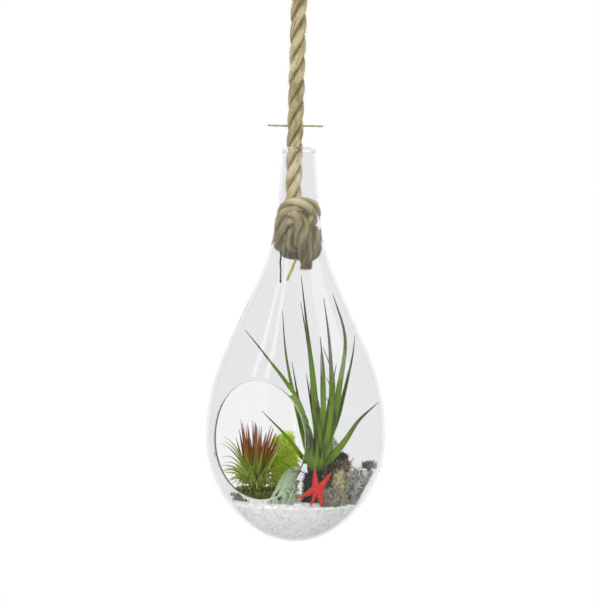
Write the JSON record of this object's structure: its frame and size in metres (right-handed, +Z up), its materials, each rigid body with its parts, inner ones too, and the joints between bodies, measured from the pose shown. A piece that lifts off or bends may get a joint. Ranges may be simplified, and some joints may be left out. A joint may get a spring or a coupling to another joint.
{
  "type": "hanging glass terrarium",
  "caption": "Blown-glass teardrop vessel with an oval side opening, hung on a knotted jute rope and planted with air plants, moss, lichens and gravel.",
  "frame": {"origin": "the point where a hook bears in the rope's eye, above the vessel's axis", "axes": "+Z up along the rope and the vessel's axis; -Y out of the side opening; +X to the right seen from in front of the opening"},
  "size_m": [0.1366, 0.1302, 0.492],
  "materials": {
    "glass": "clear, blown, fire-polished",
    "jute": "matt twisted fibre",
    "dry_stem": "matt, dried",
    "gravel": "matt white chips",
    "air_plant_green": "satin leaf",
    "air_plant_tipped": "satin leaf, red-brown towards the tips",
    "air_plant_silver": "matt, scaly grey-green leaf",
    "moss_brown": "matt, fibrous",
    "moss_lime": "matt, fine-leaved",
    "dark_bark": "matt, rough",
    "red_ornament": "satin, glossy where lit",
    "slate": "matt, split",
    "lichen_grey": "matt, crumbly",
    "lichen_tan": "matt, crumbly",
    "moss_dried": "matt, fibrous",
    "lichen_cream": "matt, branched",
    "lichen_white": "matt, branched"
  },
  "bodies": {
    "root": {"glass_vessel": "glass", "hanging_rope": "jute", "cross_stem": "dry_stem", "stopper_knot": "jute", "hanging_loop": "jute", "knot_twig": "dry_stem", "knot_fine_twig": "dark_bark", "gravel_bed": "gravel", "tall_air_plant": "air_plant_green", "small_air_plant": "air_plant_tipped", "silver_air_plant": "air_plant_silver", "moss_mat": "moss_brown", "moss_clump": "moss_lime", "bark_stump": "dark_bark", "red_star": "red_ornament", "slate_stone": "slate", "grey_lichen": "lichen_grey", "tan_lichen": "lichen_tan", "dried_moss": "moss_dried", "cream_lichen": "lichen_cream", "white_lichen": "lichen_white", "left_bark_curl": "dark_bark", "right_bark_curl": "dark_bark"}
  },
  "joints": []
}
